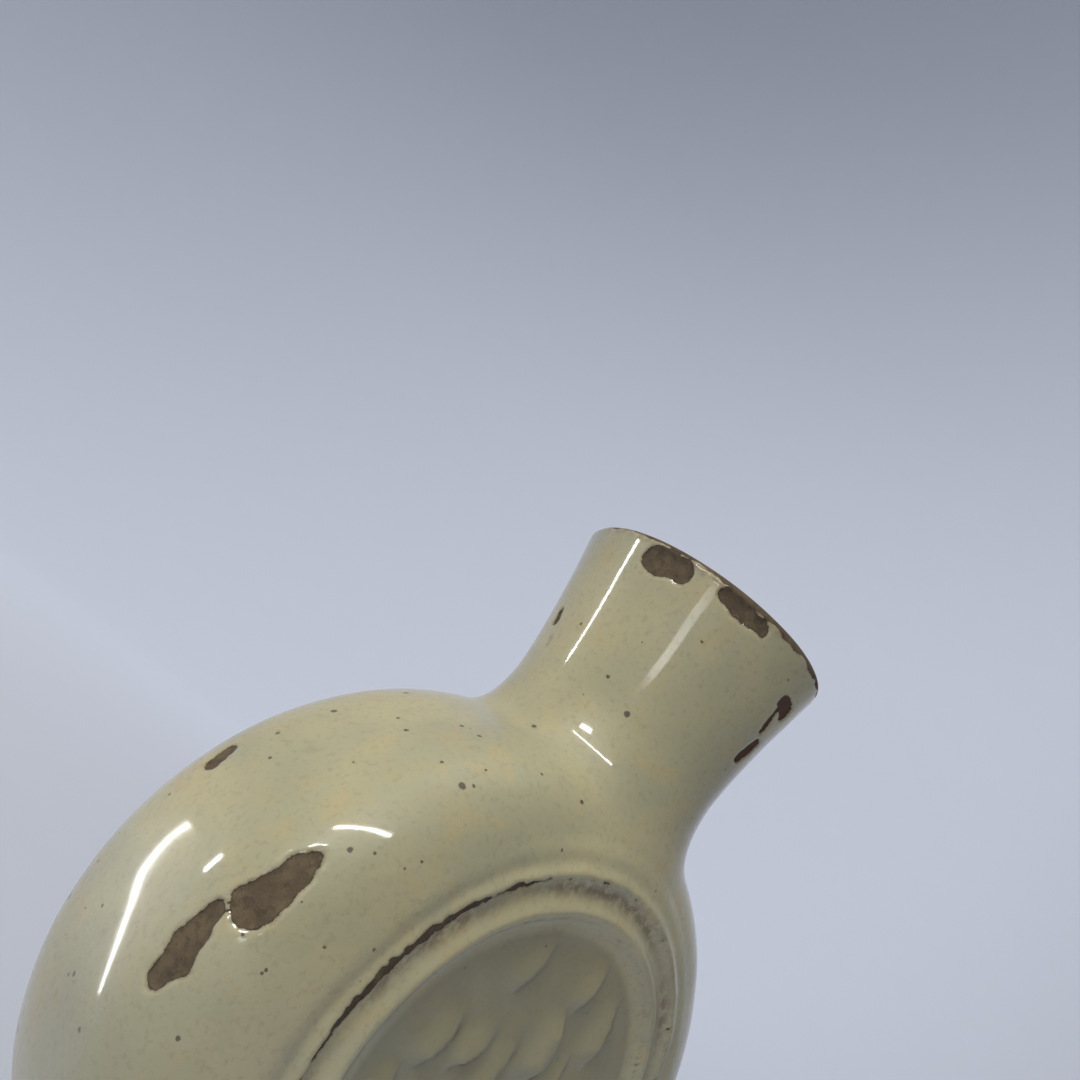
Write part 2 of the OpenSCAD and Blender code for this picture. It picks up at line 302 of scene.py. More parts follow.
def stain_and_shade_amount(points):
    """How much brown is laid on the glaze, from 0 to 1: iron stain in a broken line along the
    mould seam and at the lip, iron stain with painted shade in the groove between the rings,
    and painted shade in the reeds' creases."""
    x, y, z = points[..., 0], points[..., 1], points[..., 2]
    r = np.hypot(x, z - ROUNDEL_Z)
    slow = uneven(points, 8, 31)
    on_face = np.abs(y) > FACE_Y
    # The groove: iron stain with painted shade.
    groove = np.exp(-((r - OUTER_R + 1.7) / 1.1) ** 2) * smooth(-0.8, 0.5, slow) * on_face
    broken = smooth(0.25, 0.8, uneven(points, 6, 32) + 0.5 * uneven(points, 2, 33))
    seam = np.exp(-(y / 0.8) ** 2) * broken * (z < BODY_Z + ROOT_RISE)
    lip = smooth(MOUTH_Z - 2.4, MOUTH_Z - 0.9, z + 0.8 * slow)
    # The reeds' creases: painted shade.
    creases = reeds(x * -np.sign(y), z - ROUNDEL_Z)[1] * (r < 26) * on_face
    creases = creases * smooth(-0.5, 0.3, uneven(points, 3, 34))
    return np.clip(np.maximum.reduce([0.95 * groove, 0.5 * seam, 0.8 * lip, 2.6 * creases]), 0, 1)


print(len(CHIPS), "chips; distance at the first one's end:",
      chip_distance(np.array([CHIPS[0][0]])).round(2), "mm")

# %% [markdown]
# ## A grid over the bottle
# The skin is laid out like a map. Columns run from the foot to the lip and are spaced
# evenly round the body's outline. Rows are spaced by a blend of the edge's and the
# face's lengths, so that no cell is much over half a millimetre.

# %% Columns and rows
PITCH = 0.55
UNDER = 6                                  # one hidden cell for this many seen ones
FOOT_GAP = 0.25
LOW_UP = -1.2                              # upward angle from which rows are spaced
foot_end = foot_high[1]
foot_mid = foot_high[0] - foot_end


def outline_angles(count):
    """Angles round the front half of the body, evenly spaced along its outline."""
    fine = np.linspace(-np.pi, 0, 4000)
    reach = body_reach(fine, np.zeros_like(fine))
    xy = np.stack([reach * np.cos(fine), reach * np.sin(fine)], 1)
    length = np.concatenate([[0], np.cumsum(np.linalg.norm(np.diff(xy, axis=0), axis=1))])
    return np.interp(np.linspace(0, length[-1], count), length, fine), length[-1]


def foot_reach(around):
    """Distance from the axis to the foot's round-ended outline in a direction."""
    x, y = np.abs(np.cos(around)), np.abs(np.sin(around))
    end = foot_end + FOOT_GAP
    side = end / np.maximum(y, 1e-6)
    round_end = foot_mid * x + np.sqrt(np.maximum(end ** 2 - (foot_mid * y) ** 2, 0))
    return np.where(side * x < foot_mid, side, round_end)


def foot_angle(around):
    """Upward angle at which the body meets the foot, found by halving steps."""
    low, high = np.full_like(around, -1.55), np.full_like(around, -0.3)
    want = foot_reach(around)
    for _ in range(40):
        mid = (low + high) / 2
        inside = body_reach(around, mid) * np.cos(mid) < want
        low, high = np.where(inside, mid, low), np.where(inside, high, mid)
    return low


def whole(length):
    """A count of points whose cells divide evenly into the hidden coarse ones."""
    return int(np.ceil(length / PITCH / UNDER)) * UNDER + 1


_, half_outline = outline_angles(3)
around_columns, _ = outline_angles(whole(half_outline))
root_up = np.arctan2(ROOT_RISE, WAIST_R)
fine_up = np.linspace(LOW_UP, root_up, 2000)
row_weight = np.cumsum(0.6 * BODY_X + 0.4 * BODY_Y / np.cos(fine_up) ** 2)
row_weight = (row_weight - row_weight[0]) / (row_weight[-1] - row_weight[0])
body_rows = whole(118)
body_share = np.interp(np.linspace(0, 1, body_rows), row_weight,
                       (fine_up - LOW_UP) / (root_up - LOW_UP))
neck_z = np.linspace(BODY_Z + ROOT_RISE, MOUTH_Z - LIP_R, whole(36))[1:]
crown = np.radians(np.linspace(0, 180, 3 * UNDER + 1))[1:]
throat_z = np.linspace(MOUTH_Z - LIP_R, MOUTH_Z - 22, 4 * UNDER + 1)[1:]
print("columns", len(around_columns), "rows",
      body_rows + len(neck_z) + len(crown) + len(throat_z))


def throat_radius(z):
    """Radius of the glazed throat at height z: straight below, opening by a 1.7 power of
    the height to meet the lip."""
    low = MOUTH_Z - 17.5
    share = np.clip((z - low) / (MOUTH_Z - LIP_R - low), 0, 1)
    return THROAT_R + (MOUTH_R - 2 * LIP_R - THROAT_R) * share ** 1.7


def skin_grid():
    """The front skin before relief and wear, as rows by columns of points."""
    around = around_columns[None, :]
    start = foot_angle(around_columns)[None, :]
    up = start + (root_up - start) * body_share[:, None]
    body = outside(np.broadcast_to(around, up.shape), up)
    up = np.arctan2(neck_z - BODY_Z, neck_radius(neck_z))[:, None]
    neck = outside(np.broadcast_to(around, (len(neck_z), around.shape[1])), up)
    r = MOUTH_R - LIP_R + LIP_R * np.cos(crown)[:, None]
    z = MOUTH_Z - LIP_R + LIP_R * np.sin(crown)[:, None]
    lip = np.stack([r * np.cos(around), r * np.sin(around), z + 0 * around], axis=-1)
    r, z = throat_radius(throat_z)[:, None], throat_z[:, None]
    throat = np.stack([r * np.cos(around), r * np.sin(around), z + 0 * around], axis=-1)
    return np.concatenate([body, neck, lip, throat])


def grid_normals(p):
    """Outward unit normals of a grid: the cross product of its differences along the
    columns and along the rows."""
    across = np.gradient(p, axis=1)
    along = np.gradient(p, axis=0)
    n = np.cross(across, along)
    return n / np.linalg.norm(n, axis=-1, keepdims=True)


# %% [markdown]
# The front skin is worked out first. The back skin is the same pot turned half round,
# with other unevenness and its own chips, so each is made by one function. The skin is
# closed underneath by a coarse copy that lies against the clay and is never seen.


# %% Build the two glaze skins
def make_mesh(name, verts, faces):
    """A mesh object from points in mm and faces as index rows, at the origin."""
    mesh = bpy.data.meshes.new(name)
    mesh.from_pydata((np.asarray(verts) * MM).tolist(), [], faces)
    mesh.validate()
    mesh.update()
    mesh.polygons.foreach_set("use_smooth", [True] * len(mesh.polygons))
    thing = bpy.data.objects.new(name, mesh)
    bpy.context.scene.collection.objects.link(thing)
    return thing


def grid_faces(rows, columns, first=0, flip=False):
    """Quads of an open grid of vertices numbered row by row from first."""
    r, c = np.meshgrid(np.arange(rows - 1), np.arange(columns - 1), indexing="ij")
    a = first + r * columns + c
    quads = np.stack([a, a + 1, a + columns + 1, a + columns], -1).reshape(-1, 4)
    return (quads[:, ::-1] if flip else quads).tolist()


def add_values(thing, name, values):
    """Stores one number for each vertex under a name that a material can read."""
    data = thing.data.attributes.new(name, "FLOAT", "POINT")
    data.data.foreach_set("value", np.asarray(values, np.float32).ravel())


def half_turn(points, side):
    """The points as they are for the front, or turned half round the upright axis."""
    return points * np.array([-side, -side, 1.0])


def build_skin(name, side):
    """One closed glaze skin: the outside with relief, wear and chips on top, and the
    plain body set in below the glaze, joined by walls along the four borders."""
    base = half_turn(skin_grid(), side)
    normal = grid_normals(base)
    drift = (0.16 * uneven(base, 26, 41) + 0.05 * uneven(base, 7, 42) - 0.14)
    top = face_relief(base + normal * (drift * smooth(0, 6, base[..., 2] - 4))[..., None])
    normal = grid_normals(top)
    bare = np.minimum(chip_distance(top), worn_distance(top))
    sunk = CHIP_DEPTH * (1 - smooth(-0.35, 0.25, bare))
    sunk = sunk * (1 - 0.8 * smooth(MOUTH_Z - 2.2, MOUTH_Z - 1.2, top[..., 2]))
    top = top - normal * sunk[..., None]
    rows, columns = top.shape[:2]
    under = base[::UNDER, ::UNDER] - grid_normals(base)[::UNDER, ::UNDER] * BURIED
    r = np.hypot(under[..., 0], under[..., 2] - ROUNDEL_Z)
    limit = PANEL_Y - 1.15 + 3 * smooth(36.5, 40, r)
    under[..., 1] = np.clip(under[..., 1], -limit, limit)
    low_rows, low_columns = under.shape[:2]
    first = rows * columns
    faces = grid_faces(rows, columns) + grid_faces(low_rows, low_columns, first, flip=True)
    top_id = np.arange(first).reshape(rows, columns)
    under_id = first + np.arange(low_rows * low_columns).reshape(low_rows, low_columns)
    borders = ((top_id[0], under_id[0], True), (top_id[-1], under_id[-1], False),
               (top_id[:, 0], under_id[:, 0], False), (top_id[:, -1], under_id[:, -1], True))
    for high, low, flip in borders:
        for k in range(len(low) - 1):
            ring = list(high[k * UNDER:(k + 1) * UNDER + 1]) + [low[k + 1], low[k]]
            faces.append([int(v) for v in (ring[::-1] if flip else ring)])
    verts = np.concatenate([top.reshape(-1, 3), under.reshape(-1, 3)])
    thing = make_mesh(name, verts, [list(map(int, f)) for f in faces])
    pad = np.full(under.shape[0] * under.shape[1], 3.0)
    add_values(thing, "bare", np.concatenate([bare.ravel(), pad]))
    # Brown amount: iron stain at the seam and lip, painted shade in the groove and creases.
    add_values(thing, "stain_and_shade", np.concatenate([stain_and_shade_amount(top).ravel(), pad * 0]))
    fine = grid_normals(top).reshape(-1, 3)
    custom = np.concatenate([fine, -grid_normals(base)[::UNDER, ::UNDER].reshape(-1, 3)])
    thing.data.normals_split_custom_set_from_vertices(custom.tolist())
    print(name, "triangles", sum(len(p.vertices) - 2 for p in thing.data.polygons))
    return thing


glaze_front = build_skin("glaze_front", -1)
glaze_back = build_skin("glaze_back", 1)


# %% [markdown]
# ## The clay under the glaze
# The clay pieces lie just under the skin, as on the real flask: two moulded halves with a
# seat for each roundel, the thrown neck, and the luting clay wrapped round its root. Each
# one is an outer and an inner sheet of points joined along the borders, so it is closed.

# %% Closed shells


def closed_shell(name, outer, inner, ring=False):
    """A closed solid between two grids of the same shape: both sheets, and a wall of
    quads along every open border. A ring joins its last column to its first."""
    rows, columns = outer.shape[:2]
    i, j = np.meshgrid(np.arange(rows - 1), np.arange(columns - (0 if ring else 1)), indexing="ij")
    j2 = (j + 1) % columns
    a, b = i * columns + j, i * columns + j2
    sheet = np.stack([a, b, b + columns, a + columns], -1).reshape(-1, 4)
    shift = rows * columns
    walls = []
    ends = np.arange(columns if ring else columns - 1)
    nxt = (ends + 1) % columns
    walls.append(np.stack([nxt, ends, ends + shift, nxt + shift], 1))
    last = (rows - 1) * columns
    walls.append(np.stack([ends + last, nxt + last, nxt + last + shift, ends + last + shift], 1))
    if not ring:
        side = np.arange(rows - 1) * columns
        walls.append(np.stack([side, side + columns, side + columns + shift, side + shift], 1))
        edge = side + columns - 1
        walls.append(np.stack([edge + columns, edge, edge + shift, edge + columns + shift], 1))
    faces = np.concatenate([sheet, sheet[:, ::-1] + shift] + walls)
    verts = np.concatenate([outer.reshape(-1, 3), inner.reshape(-1, 3)])
    return make_mesh(name, verts, faces.tolist())


def half_clay(name, side):
    """One moulded half: the body inset by 0.9 mm, no deeper than the roundel's seat, and
    the hollow 4 mm further in, between the foot and the neck."""
    around, _ = outline_angles(61)
    start = foot_angle(around)[None, :]
    up = start + (1.02 - start) * np.linspace(0, 1, 61)[:, None]
    base = half_turn(outside(np.broadcast_to(around, up.shape), up), side)
    normal = grid_normals(base)
    outer, inner = base - normal * 0.9, base - normal * 4.9
    r = np.hypot(outer[..., 0], outer[..., 2] - ROUNDEL_Z)
    limit = 19.7 + 3 * smooth(36.8, 40, r)
    outer[..., 1] = np.clip(outer[..., 1], -limit, limit)
    inner[..., 1] = np.clip(inner[..., 1], -limit + 3.2, limit - 3.2)
    for sheet in (outer, inner):
        sheet[..., 1] = side * np.maximum(side * sheet[..., 1], 0.02)
    return closed_shell(name, outer, inner)


clay_front = half_clay("clay_front", -1)
clay_back = half_clay("clay_back", 1)

# %% The neck, the luting clay and the roundels
turn = np.linspace(0, 2 * np.pi, 120, endpoint=False)[None, :]


def round_sheet(r, z):
    """Points (r cos t, r sin t, z) for arrays of radius and height."""
    r, z = np.asarray(r, float)[:, None], np.asarray(z, float)[:, None]
    return np.stack([r * np.cos(turn), r * np.sin(turn), z + 0 * turn], axis=-1)


collar_z = np.linspace(BODY_Z + 39, MOUTH_Z - 1.1, 40)
collar_r = np.minimum(neck_radius(collar_z) - 0.8, MOUTH_R - 1.2)
neck_clay = closed_shell("neck_clay", round_sheet(collar_r, collar_z),
                         round_sheet(throat_radius(collar_z) + 0.8, collar_z), ring=True)
up = np.linspace(1.0, 1.19, 16)[:, None]
wrapped = outside(np.broadcast_to(turn, (16, 120)), np.broadcast_to(up, (16, 120)))
wrapped = wrapped * np.array([0.965, 0.965, 1]) - np.array([0, 0, 0.9])
tucked = wrapped.copy()
tucked[..., :2] *= (17.8 / np.linalg.norm(wrapped[..., :2], axis=-1))[..., None]
luting_clay = closed_shell("luting_clay", wrapped, tucked, ring=True)


def roundel_clay(name, side):
    """The relief's clay: a disc whose face follows the rings 1.25 mm under the glaze."""
    r = np.linspace(0.4, 36.4, 60)
    depth = np.minimum(ring_depth(r), CREST_Y) - 1.25
    face, back = round_sheet(r, depth), round_sheet(r, np.full_like(r, 19.72))
    face, back = face[::-1], back[::-1]
    sheets = [np.stack([p[..., 0], side * p[..., 2], side * -p[..., 1] + ROUNDEL_Z], axis=-1)
              for p in (face, back)]
    return closed_shell(name, *sheets, ring=True)


roundel_front = roundel_clay("roundel_front", -1)
roundel_back = roundel_clay("roundel_back", 1)
shells = (clay_front, clay_back, neck_clay, luting_clay, roundel_front, roundel_back)
print("faces of the clay pieces:", [len(shell.data.polygons) for shell in shells])

# %% [markdown]
# The foot is an oval wall of bare clay that the flask stands on, unglazed so that it does
# not stick to the kiln shelf. Its outline is two half circles joined by straight sides.
# The wall has a soft, worn edge, and its top runs just into the body so that no gap shows.

# %% The foot
FOOT_WALL = 5.0
FOOT_ROUND = 0.9
FOOT_COUNT = 240


def foot_outline(inset):
    """Points of the outline moved in by an amount: the ends are half circles round the
    points (+-m, 0), and the sides are straight, shared out by length."""
    radius = foot_end - inset
    straight, bend = 2 * foot_mid, np.pi * foot_end
    s = np.linspace(0, 2 * (straight + bend), FOOT_COUNT, endpoint=False)
    half = s >= straight + bend
    s = s - half * (straight + bend)
    angle = np.clip(s / bend, 0, 1) * np.pi - np.pi / 2
    shift = np.clip(s - bend, 0, None)
    x = foot_mid + radius * np.cos(angle) - shift
    y = radius * np.sin(angle)
    flip = np.where(half, -1, 1)
    return np.stack([flip * x, flip * y], 1)


def under_body(xy):
    """Height of the body's underside over points of the floor, from the superellipsoid."""
    depth = np.clip(np.abs(xy[:, 1]) / (BODY_Y - 0.2), 0, 0.999)
    rest = np.sqrt(1 - depth ** EDGE_N) - (xy[:, 0] / BODY_X) ** 2
    return BODY_Z - BODY_H * np.sqrt(np.maximum(rest, 0))


def foot_sheet(inset, direction):
    """Rows of one side of the wall: from the body down to the rounded bottom edge, which
    curls towards the middle of the wall."""
    edge = foot_outline(inset)
    top = under_body(edge) + 0.35
    rows = [np.column_stack([edge, FOOT_ROUND + (top - FOOT_ROUND) * share])
            for share in np.linspace(1, 0, 8)]
    for a in np.radians(np.linspace(15, 90, 6)):
        rim = foot_outline(inset + direction * FOOT_ROUND * (1 - np.cos(a)))
        rows.append(np.column_stack([rim, np.full(FOOT_COUNT, FOOT_ROUND * (1 - np.sin(a)))]))
    return np.stack(rows)


outer, inner = foot_sheet(0.1, 1), foot_sheet(FOOT_WALL, -1)
worn = 0.14 * uneven(outer, 8, 51) + 0.06 * uneven(outer, 2.5, 52)
outer[..., :2] *= 1 - (np.abs(worn) / 20)[..., None]
foot_clay = closed_shell("foot_clay", outer[::-1], inner[::-1], ring=True)
print("foot outline", len(outer[0]), "points,", len(foot_clay.data.polygons), "faces")

# %% [markdown]
# ## Writing shader maths
# Materials are long sums of patterns. A small class wraps a shader socket, so that sums,
# products and steps of patterns can be written as Python expressions, each of which adds
# the Math node it stands for. Colours are mixed by Mix nodes, because Math loses colour.

# %% A wrapped socket and a finish


class Value:
    """A shader socket that takes +, -, *, ** and abs, and | for the larger of two."""

    def __init__(self, finish, socket):
        self.finish, self.socket = finish, socket

    def _math(self, kind, a, b):
        return self.finish.node("ShaderNodeMath", {"operation": kind}, {0: a, 1: b})

    def __add__(self, other):
        return self._math("ADD", self, other)

    __radd__ = __add__

    def __mul__(self, other):
        return self._math("MULTIPLY", self, other)

    __rmul__ = __mul__

    def __sub__(self, other):
        return self._math("SUBTRACT", self, other)

    def __rsub__(self, other):
        return self._math("SUBTRACT", other, self)

    def __pow__(self, other):
        return self._math("POWER", self, other)

    def __abs__(self):
        return self._math("ABSOLUTE", self, 0.0)

    def __or__(self, other):
        return self._math("MAXIMUM", self, other)


class Finish:
    """A material with its node tree, and the few patterns that this flask is made of."""

    def __init__(self, name):
        self.material = bpy.data.materials.new(name)
        self.material.use_nodes = True
        self.tree = self.material.node_tree
        self.shader = self.tree.nodes["Principled BSDF"]
        self.place = self.node("ShaderNodeTexCoord", {}, {}, "Object")

    def node(self, kind, settings, sockets, out=0):
        """Adds any node: its settings first, then the value or link of each socket."""
        node = self.tree.nodes.new(kind)
        for key, value in settings.items():
            setattr(node, key, value)
        self.fill(node, sockets)
        return Value(self, node.outputs[out])

    def fill(self, node, sockets):
        for key, value in sockets.items():
            if isinstance(value, Value):
                self.tree.links.new(value.socket, node.inputs[key])
            else:
                node.inputs[key].default_value = value

    def noise(self, cell_mm, detail=3.0, rough=0.55, warp=0.0, place=None):
        """Fractal noise from 0 to 1 whose largest lumps are about cell_mm across."""
        return self.node("ShaderNodeTexNoise", {}, {
            "Vector": place or self.place, "Scale": 1 / (cell_mm * MM), "Detail": detail,
            "Roughness": rough, "Distortion": warp})

    def cells(self, cell_mm, out="Distance", place=None):
        """Distance to the nearest of scattered points about cell_mm apart, in cells."""
        return self.node("ShaderNodeTexVoronoi", {}, {
            "Vector": place or self.place, "Scale": 1 / (cell_mm * MM)}, out)

    def step(self, value, low, high, to_low=0.0, to_high=1.0):
        """Smoothstep of a value between two edges."""
        return self.node("ShaderNodeMapRange", {"interpolation_type": "SMOOTHSTEP"}, {
            "Value": value, "From Min": low, "From Max": high, "To Min": to_low, "To Max": to_high})

    def attribute(self, name):
        """A number stored on the vertices."""
        return self.node("ShaderNodeAttribute", {"attribute_name": name}, {}, "Fac")

    def mix(self, factor, a, b, kind="MIX"):
        """Colour a to colour b by a factor."""
        a, b = [v if isinstance(v, Value) else (*v, 1.0) for v in (a, b)]
        return self.node("ShaderNodeMix", {"data_type": "RGBA", "blend_type": kind},
                         {0: factor, 6: a, 7: b}, 2)

    def near(self, point_mm, radius_mm, ragged):
        """1 inside a ragged spot round a point given in mm, 0 outside."""
        gap = self.node("ShaderNodeVectorMath", {"operation": "DISTANCE"},
                        {0: self.place, 1: [v * MM for v in point_mm]}, "Value")
        return self.step(gap + ragged, radius_mm * MM * 0.7, radius_mm * MM * 1.15, 1.0, 0.0)

    def bump(self, height, depth_mm, under=None):
        """A bump whose full height is depth_mm, over an earlier bump if there is one."""
        sockets = {"Height": height, "Distance": depth_mm * MM, "Strength": 1.0}
        if under is not None:
            sockets["Normal"] = under
        return self.node("ShaderNodeBump", {}, sockets)

    def wear(self, *things):
        """Puts this finish on objects, in place of what they had."""
        for thing in things:
            thing.data.materials.clear()
            thing.data.materials.append(self.material)


# %% [markdown]
# ## The cream glaze
# The glaze is a thick, slightly milky glass. Its colour drifts from cream to grey green,
# it is dusted with iron specks, and where it is thin the brown body warms it. The groove
# and the reeds' creases carry painted brown shade. It reflects twice: softly from the
# milky layer, and sharply from the fired surface, which is a coat.

# %% Colours of the glaze and the clay
CREAM = (0.41, 0.365, 0.205)
GREY_GREEN = (0.33, 0.31, 0.19)
STRAW = (0.42, 0.33, 0.155)
OLIVE = (0.20, 0.18, 0.10)
IRON = (0.05, 0.028, 0.016)
RUST = (0.15, 0.092, 0.045)
CLAY = (0.085, 0.060, 0.033)
OCHRE = (0.12, 0.086, 0.046)
DARK_CLAY = (0.028, 0.020, 0.013)
RED_CLAY = (0.075, 0.026, 0.014)


def clay_colour(finish):
    """Bare clay: brown, clouded with ochre and dark patches, with fine dark grains."""
    cloud = finish.noise(3.2, 4.0, 0.6)
    grain = finish.noise(0.35, 3.0, 0.7)
    colour = finish.mix(finish.step(cloud, 0.42, 0.62), CLAY, OCHRE)
    colour = finish.mix(finish.step(finish.noise(1.3, 3.0), 0.5, 0.7, 0, 0.5), colour, DARK_CLAY)
    return finish.mix(finish.step(grain, 0.55, 0.75, 0, 0.6), colour, DARK_CLAY)


def glaze_colour(finish):
    """Cream glaze: wide drifts, middle-sized clouds, a fine grain, and random specks."""
    wide = finish.noise(30, 3.0, 0.5, 0.4)
    middle = finish.noise(6.5, 4.0, 0.6, 0.6)
    fine = finish.noise(0.9, 3.0, 0.65)
    colour = finish.mix(finish.step(wide, 0.36, 0.64), CREAM, GREY_GREEN)
    colour = finish.mix(finish.step(middle, 0.5, 0.72, 0, 0.55), colour, STRAW)
    colour = finish.mix(finish.step(middle, 0.46, 0.3, 0, 0.45), colour, GREY_GREEN)
    colour = finish.mix(finish.step(fine, 0.5, 0.72, 0, 0.3), colour, OLIVE)
    seeds = finish.cells(3.4)
    chance = finish.node("ShaderNodeSeparateColor", {}, {0: finish.cells(3.4, "Color")}, 0)
    small = finish.step(seeds, 0.035, 0.085, 1, 0) * finish.step(chance, 0.76, 0.78)
    dusty = finish.step(middle, 0.45, 0.6, 0, 0.55)
    dust = finish.step(finish.cells(1.15), 0.06, 0.11, 1, 0) * dusty
    colour = finish.mix(dust * 0.45, colour, RUST)
    return finish.mix(small * 0.85, colour, IRON), fine


print("glaze drifts between", CREAM, "and", GREY_GREEN)

# %% [markdown]
# The skin's material shows glaze or clay by the stored distance. A little noise is added
# to the distance, and the cut is less than a tenth of a millimetre wide, so the chip's
# edge is crisp and scalloped. The clay is darkest along the cut, with painted shade and
# dirt, and the glaze beside it is stained with rust. The stored brown amount adds iron
# stain and painted shade. Larger specks of iron are placed one by one.

# %% The skin's finish
SPECKS = [((-17.3, -7.7, 109.2), 0.5), ((-14.3, -12.2, 106.4), 0.8), ((-15.8, -11.5, 101.2), 0.5),
          ((-20.6, -0.1, 121.3), 0.5), ((-19.4, 1.2, 114.0), 0.45), ((-17.0, -17.4, 92.0), 0.5),
          ((-49.7, 1.6, 39.0), 0.6), ((-49.7, -2.0, 39.0), 0.5), ((-49.6, -7.1, 38.9), 0.45),
          ((-49.6, -10.9, 41.3), 0.5), ((-49.0, -5.9, 36.9), 0.8), ((-46.8, 3.0, 31.6), 0.5),
          ((-46.6, -16.9, 44.3), 0.5), ((-40.9, -19.9, 60.4), 0.6), ((-31.3, 8.5, 89.3), 0.9),
          ((-30.2, -5.6, 90.3), 0.6), ((-40.5, 6.8, 81.0), 0.9), ((-45.1, 7.0, 74.3), 0.8),
          ((-49.7, 12.3, 43.5), 0.9), ((-44.2, 10.2, 27.8), 0.8), ((-17.6, 10.2, 106.9), 0.8),
          ((-47.0, 2.5, 71.7), 0.45), ((-36.6, 0.3, 85.7), 0.5), ((-37.4, -3.5, 85.0), 0.6),
          ((-36.6, -11.9, 84.5), 0.45), ((-33.5, -15.8, 84.6), 0.45), ((-43.8, -16.6, 70.1), 0.6),
          ((-46.9, -17.1, 44.4), 0.5), ((-50.2, 0.6, 39.6), 0.55), ((-51.5, 3.3, 46.8), 0.45),
          ((-50.5, 9.3, 60.5), 0.4), ((-44.7, -19.0, 55.1), 0.35), ((-35.6, -21.3, 63.1), 0.35),
          ((-17.2, -17.6, 92.2), 0.6), ((-20.0, -4.5, 97.0), 0.6), ((-24.2, -15.2, 91.6), 0.4),
          ((-32.0, -14.3, 87.2), 0.35), ((-14.7, -21.4, 83.4), 0.6), ((-34.8, -15.5, 83.7), 0.9),
          ((-31.0, -4.5, 90.2), 0.6), ((-30.3, -7.8, 90.4), 0.6), ((-43.4, -6.6, 77.8), 0.3),
          ((-45.5, -17.6, 62.7), 0.3), ((-36.4, -19.6, 73.9), 0.35), ((-17.5, -9.2, 116.1), 0.3),
          ((-14.0, -15.2, 121.1), 0.35), ((-18.5, -20.7, 85.5), 0.35),
          ((38.0, -18.0, 80.0), 0.6), ((44.0, 6.0, 45.0), 0.7), ((15.0, 14.0, 108.0), 0.6)]


def skin_finish(name):
    """Glaze, worn through to clay where the bare distance is below nothing."""
    finish = Finish(name)
    glaze, fine = glaze_colour(finish)
    ragged = (finish.noise(0.7, 3.0, 0.6) - 0.5) * 0.55
    bare = finish.attribute("bare") + ragged
    clay_mask = finish.step(bare, -0.04, 0.04, 1, 0)
    split = finish.node("ShaderNodeSeparateXYZ", {}, {0: finish.place}, 0).socket.node.outputs
    x, y, z = [Value(finish, s) for s in split]
    r = (x * x + (z - ROUNDEL_Z * MM) * (z - ROUNDEL_Z * MM)) ** 0.5
    on_face = finish.step(abs(y), 0.0185, 0.0195)
    panel = finish.step(r, 0.0248, 0.0262, 1, 0) * on_face
    colour = finish.mix(panel * 0.55, glaze, OLIVE)
    halo = finish.step(bare, 0.0, 0.35, 1, 0) * 0.6
    # Rust from the stored amount: iron stain at the seam and lip, painted shade in the groove and
    # the reeds' creases.
    stain_and_shade = finish.attribute("stain_and_shade") * finish.step(finish.noise(1.6, 4.0, 0.65), 0.36, 0.6)
    colour = finish.mix((halo | stain_and_shade) * 0.85, colour, RUST)
    rough_spot = (finish.noise(0.5, 2.0) - 0.5) * 0.0004
    spots = None
    for place, radius in SPECKS:
        spot = finish.near(place, radius * 0.62, rough_spot)
        spots = spot if spots is None else spots | spot
    colour = finish.mix(spots * 0.85, colour, IRON)
    straw_spot = finish.near((-46.9, -17.1, 52.2), 0.55, rough_spot)
    colour = finish.mix(straw_spot * 0.6, colour, (0.45, 0.27, 0.08))
    # Painted shade, with some dirt, darkens the clay just inside each chip's cut.
    cut_shade_and_dirt = finish.step(abs(bare + 0.06), 0.02, 0.12, 1, 0)
    clay = finish.mix(cut_shade_and_dirt * 0.7, clay_colour(finish), DARK_CLAY)
    red_patch = finish.near((5, -19.5, 118), 8, rough_spot) * 0.75
    clay = finish.mix(red_patch, clay, RED_CLAY)
    colour = finish.mix(clay_mask, colour, clay)
    lumps = finish.noise(5.0, 2.0, 0.5)
    peel = finish.noise(1.6, 2.0, 0.5)
    pits = finish.step(finish.cells(2.3), 0.02, 0.09, 0, 1)
    grain = finish.noise(0.3, 3.0, 0.7)
    glazed = 1 - clay_mask
    normal = finish.bump(lumps, 0.10)
    normal = finish.bump(peel * glazed, 0.026, normal)
    sparkle = finish.noise(0.5, 2.0, 0.6) * finish.step(finish.noise(4.0, 2.0), 0.36, 0.6)
    normal = finish.bump(sparkle * glazed, 0.034, normal)
    normal = finish.bump(pits * glazed, 0.012, normal)
    normal = finish.bump(grain * clay_mask, 0.10, normal)
    finish.fill(finish.shader, {
        "Base Color": colour, "Roughness": 0.36 + 0.1 * fine + clay_mask * 0.4,
        "Coat Weight": glazed * finish.step(finish.noise(9, 3), 0.3, 0.6, 0.75, 1.0),
        "Coat Roughness": 0.075, "Coat IOR": 1.5, "Normal": normal})
    return finish


front_finish, back_finish = skin_finish("cream glaze, front"), skin_finish("cream glaze, back")
front_finish.wear(glaze_front)
back_finish.wear(glaze_back)
print("specks placed:", len(SPECKS))

# %% [markdown]
# The hidden clay and the standing foot share one finish: rough brown stoneware with fine
# grog. The liner has the same cream glaze as the outside, without wear.

